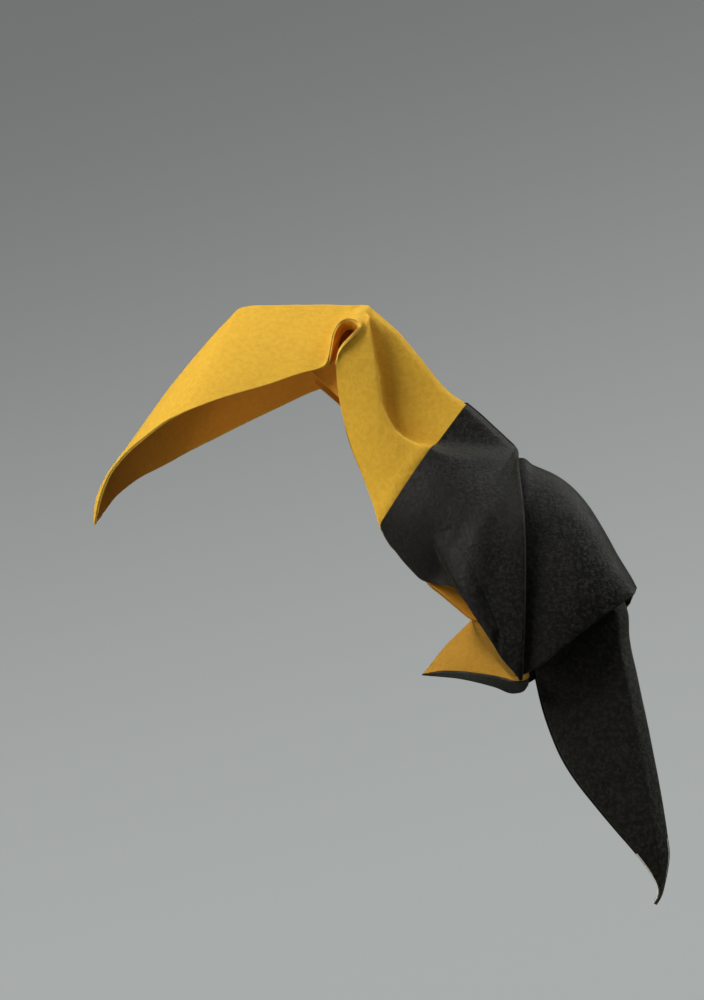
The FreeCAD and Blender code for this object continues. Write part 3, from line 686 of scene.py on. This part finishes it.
# top x, z, half; edge x, z, half; crown of the rounded top, bow
BACK_ROWS = [
    (11.8, 55.8, 0, 11.0, -1.6, 12.2, 12.6, 0.6),
    (14.3, 55.9, 0, 13.4, -1.0, 12.4, 12.6, 0.6),
    (16.4, 54.2, 0, 16.9, 0.8, 12.6, 12.6, 0.6),
    (18.6, 53.1, 0, 20.6, 3.6, 12.7, 12.5, 0.6),
    (22.0, 51.4, 0, 25.4, 7.4, 12.5, 12.2, 0.8),
    (26.2, 48.3, 0, 29.6, 10.6, 12.0, 11.7, 1.0),
    (30.0, 43.9, 0, 33.3, 13.4, 11.3, 11.0, 1.0),
    (34.0, 37.0, 0, 36.4, 15.7, 10.4, 10.1, 1.0),
    (38.0, 29.4, 0, 38.8, 17.4, 9.4, 8.9, 0.8),
    (40.9, 24.2, 0, 40.2, 18.4, 8.6, 7.6, 0.4),
    (42.0, 21.9, 0, 41.0, 19.3, 7.8, 6.4, 0.2),
]


def back_half(across, row):
    """Half widths along a cut of the back: a rounded crown, then a side that hangs down."""
    edge_half, crown_half, bow = row[5:]
    crown = crown_half * np.sqrt(1 - (1 - across) ** 2)
    side = (edge_half - crown_half) * step(0.3, 1.0, across)
    return crown + side + bow * across * (1 - across)


back = near_half(spline(BACK_ROWS, 110), np.linspace(0.0, 1.0, 60) ** 1.6, back_half)
sheet("back_panels", [whole(back, 11.0)], BLACK, BLACK, BLACK_EDGE)

# --- tail: hangs from inside the back, with a rounded ridge and a hooked tip ---------------------

# top x, z, half; edge x, z, half; half of the ridge, bow
TAIL_ROWS = [
    (38.7, 19.4, 0, 15.2, 6.0, 4.8, 2.6, 0.5),
    (39.7, 16.4, 0, 16.0, 1.6, 4.8, 2.5, 0.5),
    (40.1, 9.0, 0, 17.8, -7.2, 4.7, 2.4, 0.6),
    (41.6, 0.0, 0, 20.1, -14.6, 4.5, 2.3, 0.6),
    (43.2, -8.6, 0, 22.6, -20.6, 4.2, 2.2, 0.6),
    (44.6, -16.6, 0, 25.8, -25.9, 3.9, 2.1, 0.6),
    (45.9, -24.4, 0, 30.4, -32.0, 3.5, 2.0, 0.5),
    (47.0, -32.0, 0, 35.4, -38.2, 3.1, 1.8, 0.5),
    (47.9, -39.0, 0, 39.6, -43.2, 2.7, 1.5, 0.4),
    (48.3, -44.4, 0, 42.6, -47.2, 2.3, 1.2, 0.3),
    (47.8, -47.6, 0, 44.2, -49.8, 2.0, 1.0, 0.2),
    (47.0, -51.0, 0, 45.3, -52.2, 1.7, 0.8, 0.1),
    (46.0, -54.2, 0, 45.2, -54.4, 1.3, 0.5, 0.1),
    (44.7, -56.2, 0, 44.2, -55.9, 0.8, 0.3, 0.0),
]
RIDGE_RUN = 3.4            # how far down a cut the ridge rounds over
TIP_ROW = 118              # first row of the tail's curled tip, whose inside is cream
TIP_DEPTH = 0.4            # how far inside the tail's face that lining lies


def tail_half(across, row):
    """Half widths along a cut of the tail, with a rounded ridge."""
    edge_half, ridge_half, bow = row[5:]
    crown = ridge_half * np.minimum(across * cut_length(row) / RIDGE_RUN, 1.0) ** 0.8
    return crown + (edge_half - ridge_half) * across + 3 * bow * across * (1 - across)


tail = near_half(spline(TAIL_ROWS, 150), np.linspace(0.0, 1.0, 60) ** 1.5, tail_half)
tail = whole(tail, 17.0, height=0.1)
# the tail's outer face is painted light
sheet("tail", [tail], BLACK_TAIL_PAINTED_LIGHT, BLACK, BLACK_EDGE, TAIL_PAPER)
sheet("tail_tip_lining", [inside(tail, TIP_DEPTH)[TIP_ROW:]], CREAM, CREAM, CREAM, TIP_PAPER)

# --- belly: a yellow fold that comes down from inside the chest to the ankle ---------------------

# top x, z, half; edge x, z, half
BELLY_ROWS = [
    (-12.0, 26.2, 1.2, -2.0, 27.0, 0.3),
    (-10.4, 23.6, 1.8, -1.4, 22.6, 0.3),
    (-6.9, 20.6, 2.0, 0.8, 17.8, 0.3),
    (-3.3, 17.5, 1.8, 3.4, 14.6, 0.3),
    (-0.8, 15.3, 1.5, 5.2, 13.2, 0.3),
    (0.8, 14.1, 1.2, 6.6, 12.4, 0.3),
]


def straight_half(across, row):
    """Half widths along a straight cut."""
    return row[2] + (row[5] - row[2]) * across


belly_rows = spline(BELLY_ROWS, FACET_COUNT)
belly = near_half(belly_rows, np.linspace(0.0, 1.0, FACET_ACROSS), straight_half)
belly = undulate(belly, 23.0, 0.08)
# the belly's face and rims are painted shade
sheet("belly", pair(belly), YELLOW_FOOT_PAINTED_SHADE, YELLOW_INSIDE_PAINTED_SHADE, YELLOW_FOOT_PAINTED_SHADE, BELLY_PAPER)

# --- foot: a front facet, a turned-in rear facet and a black sole --------------------------------

SHIN = [(0.7, 14.4, 0.2), (-2.4, 11.3, 0.2), (-5.4, 8.4, 0.2), (-8.6, 4.6, 0.2),
        (-11.7, 0.7, 0.2)]
CREASE = [(0.7, 14.4, 0.2), (2.2, 10.4, 2.4), (3.9, 7.0, 4.9), (5.9, 4.0, 7.3), (8.2, 0.7, 9.6),
          (10.9, -2.7, 11.5)]
FRONT_HEM = [(-11.7, 0.7, 0.2), (-10.2, 0.75, 1.6), (-8.0, 0.9, 3.2), (-3.0, 0.6, 5.6),
             (2.8, -0.4, 8.2), (6.3, -1.2, 9.6), (10.9, -2.7, 11.5)]
REAR_HEM = [(2.0, 14.3, 0.2), (5.6, 11.2, 0.6), (9.0, 8.0, 1.6), (12.2, 4.2, 3.4),
            (14.4, 0.6, 5.6), (14.4, -1.6, 8.2), (13.0, -2.4, 10.4)]
SOLE_HEM = [(-11.8, 0.25, 0.0), (-8.1, 0.35, 3.5), (-3.0, 0.1, 5.9), (2.8, -0.85, 8.5),
            (6.4, -1.7, 9.9), (10.9, -3.1, 11.7), (13.4, -2.8, 10.4), (14.8, -1.4, 7.6)]
SOLE_COUNT = 60
FOOT_SWELL = 1.625         # how far the front facet swells out in its middle
SOLE_SWELL = 0.15          # how far the sole bows up between its middle line and its hem

shin, crease, hem = (spline(line, FACET_COUNT) for line in (SHIN, CREASE, FRONT_HEM))
shares, down = row_shares(FACET_COUNT), column_shares(FACET_COUNT)
front = between_lines(shin, crease, shares)
front += down ** 2 * (hem[None] - shin[-1] * (1 - shares) - crease[-1] * shares)
front[:, :, 2] += (16 * FOOT_SWELL * shares * (1 - shares) * down * (1 - down))[:, :, 0]
rear = facet(CREASE, REAR_HEM)
foot = np.concatenate([as_grid(front), rear[:, 1:]], axis=1)
# the foot's face and rims are painted shade
sheet("foot", pair(foot[:, ::-1]), YELLOW_FOOT_PAINTED_SHADE, YELLOW_INSIDE_PAINTED_SHADE, YELLOW_FOOT_PAINTED_SHADE, FOOT_PAPER)

sole_hem = spline(SOLE_HEM, SOLE_COUNT)
middle_line = sole_hem.copy()
middle_line[:, 1] = np.maximum(sole_hem[:, 1], 0.0)
middle_line[:, 2] = 0.0
shares = row_shares(FACET_ACROSS)
sole = between_lines(middle_line, sole_hem, shares)
sole[:, :, 1] += (4 * SOLE_SWELL * shares * (1 - shares))[:, :, 0]
sheet("sole", pair(as_grid(sole)[:, ::-1]), BLACK, BLACK, BLACK_EDGE, LAYER)


# --- studio --------------------------------------------------------------------------------------

FLOOR_Z, FLOOR_FRONT = -0.080, -1.6
WALL_Y, WALL_TOP = 0.9, 2.2
BACKDROP_HALF = 2.4
BACKDROP_BEND = 0.5        # radius of the curve between floor and wall
GREY_LOW, GREY_HIGH = (0.395, 0.415, 0.407), (0.165, 0.170, 0.168)
GREY_RISE = (-0.25, 0.0, 1.0)          # the way that the grey darkens
GREY_START, GREY_END = -0.1, 0.75      # from where to where on that way


def backdrop_material():
    """Backdrop: an even gradient of its own to the camera and plain grey to the light."""
    material = bpy.data.materials.new("backdrop_grey")
    material.use_nodes = True
    nodes, links = material.node_tree.nodes, material.node_tree.links
    shader = nodes["Principled BSDF"]
    shader.inputs["Base Color"].default_value = (0.12, 0.12, 0.12, 1.0)
    shader.inputs["Roughness"].default_value = 1.0
    shader.inputs["Specular IOR Level"].default_value = 0.0
    place = nodes.new("ShaderNodeTexCoord")
    rise = nodes.new("ShaderNodeVectorMath")
    rise.operation = "DOT_PRODUCT"
    rise.inputs[1].default_value = GREY_RISE
    links.new(place.outputs["Object"], rise.inputs[0])
    height = nodes.new("ShaderNodeMapRange")
    height.interpolation_type = "SMOOTHSTEP"
    height.inputs["From Min"].default_value = GREY_START
    height.inputs["From Max"].default_value = GREY_END
    links.new(rise.outputs["Value"], height.inputs["Value"])
    blend = nodes.new("ShaderNodeMix")
    blend.data_type = "RGBA"
    blend.inputs["A"].default_value = (*GREY_LOW, 1.0)
    blend.inputs["B"].default_value = (*GREY_HIGH, 1.0)
    links.new(height.outputs["Result"], blend.inputs["Factor"])
    glow = nodes.new("ShaderNodeEmission")
    links.new(blend.outputs["Result"], glow.inputs["Color"])
    path = nodes.new("ShaderNodeLightPath")
    choice = nodes.new("ShaderNodeMixShader")
    links.new(path.outputs["Is Camera Ray"], choice.inputs["Fac"])
    links.new(shader.outputs["BSDF"], choice.inputs[1])
    links.new(glow.outputs["Emission"], choice.inputs[2])
    links.new(choice.outputs["Shader"], nodes["Material Output"].inputs["Surface"])
    return material


def build_backdrop():
    """Floor that curves up into a wall."""
    outline = [(FLOOR_FRONT, FLOOR_Z)]
    for angle in np.linspace(0.0, math.pi / 2, 24):
        outline.append((WALL_Y + BACKDROP_BEND * math.sin(angle) - BACKDROP_BEND,
                        FLOOR_Z + BACKDROP_BEND * (1 - math.cos(angle))))
    outline.append((WALL_Y, WALL_TOP))
    points = [(x, y, z) for y, z in outline for x in (-BACKDROP_HALF, BACKDROP_HALF)]
    faces = [(2 * i, 2 * i + 1, 2 * i + 3, 2 * i + 2) for i in range(len(outline) - 1)]
    mesh = bpy.data.meshes.new("backdrop")
    mesh.from_pydata(points, [], faces)
    mesh.polygons.foreach_set("use_smooth", [True] * len(faces))
    mesh.materials.append(backdrop_material())
    backdrop = bpy.data.objects.new("backdrop", mesh)
    bpy.context.collection.objects.link(backdrop)


def lamp(name, middle, direction, distance, size, energy, colour=(1.0, 1.0, 1.0)):
    """Soft area lamp that faces a point of the bird from a direction."""
    data = bpy.data.lights.new(name, "AREA")
    data.shape = "RECTANGLE"
    data.size, data.size_y = size
    data.energy = energy
    data.color = colour
    light = bpy.data.objects.new(name, data)
    aim = Vector(direction).normalized()
    light.location = Vector(middle) * MM + aim * distance
    light.rotation_mode = "QUATERNION"
    light.rotation_quaternion = aim.to_track_quat("Z", "Y")
    bpy.context.collection.objects.link(light)


build_backdrop()

# points of the bird that the lamps face
HEAD_MIDDLE = (-50, 0, 80)
BODY_MIDDLE = (5, 0, 30)
BEAK_INSIDE = (-75, 0, 60)
lamp("key", HEAD_MIDDLE, (-0.68, -0.53, 0.50), 0.65, (0.36, 0.36), 4.6, (1.0, 0.985, 0.96))
lamp("overhead", BODY_MIDDLE, (0.3, -0.1, 0.95), 0.6, (0.26, 0.16), 0.9)
lamp("rim", BODY_MIDDLE, (0.70, 0.12, 0.70), 0.9, (0.4, 0.4), 4.2)
lamp("bounce", BEAK_INSIDE, (-0.5, -0.6, -0.62), 0.17, (0.08, 0.08), 0.078, (1.0, 0.96, 0.9))
lamp("fill", BODY_MIDDLE, (-0.4, -0.9, 0.0), 1.3, (0.9, 0.9), 0.25)

ROOM_COLOUR, ROOM_STRENGTH = (0.9, 0.95, 1.0), 0.03
world = bpy.data.worlds.new("studio")
world.use_nodes = True
room = world.node_tree.nodes["Background"]
room.inputs["Color"].default_value = (*ROOM_COLOUR, 1.0)
room.inputs["Strength"].default_value = ROOM_STRENGTH
bpy.context.scene.world = world
bpy.context.scene.view_settings.view_transform = "Standard"

CAMERA_PLACE = (-0.0023, -0.5194, -0.0652)
CAMERA_TURN, CAMERA_TILT = math.radians(3), math.radians(12)   # towards the beak, and upwards
camera_data = bpy.data.cameras.new("camera")
camera_data.lens = 75
camera_data.sensor_width = 36
camera_data.clip_start = 0.01
camera_data.clip_end = 20
camera = bpy.data.objects.new("camera", camera_data)
camera.location = CAMERA_PLACE
look = Vector((-math.sin(CAMERA_TURN) * math.cos(CAMERA_TILT),
               math.cos(CAMERA_TURN) * math.cos(CAMERA_TILT), math.sin(CAMERA_TILT)))
camera.rotation_mode = "QUATERNION"
camera.rotation_quaternion = look.to_track_quat("-Z", "Y")
bpy.context.collection.objects.link(camera)
bpy.context.scene.camera = camera
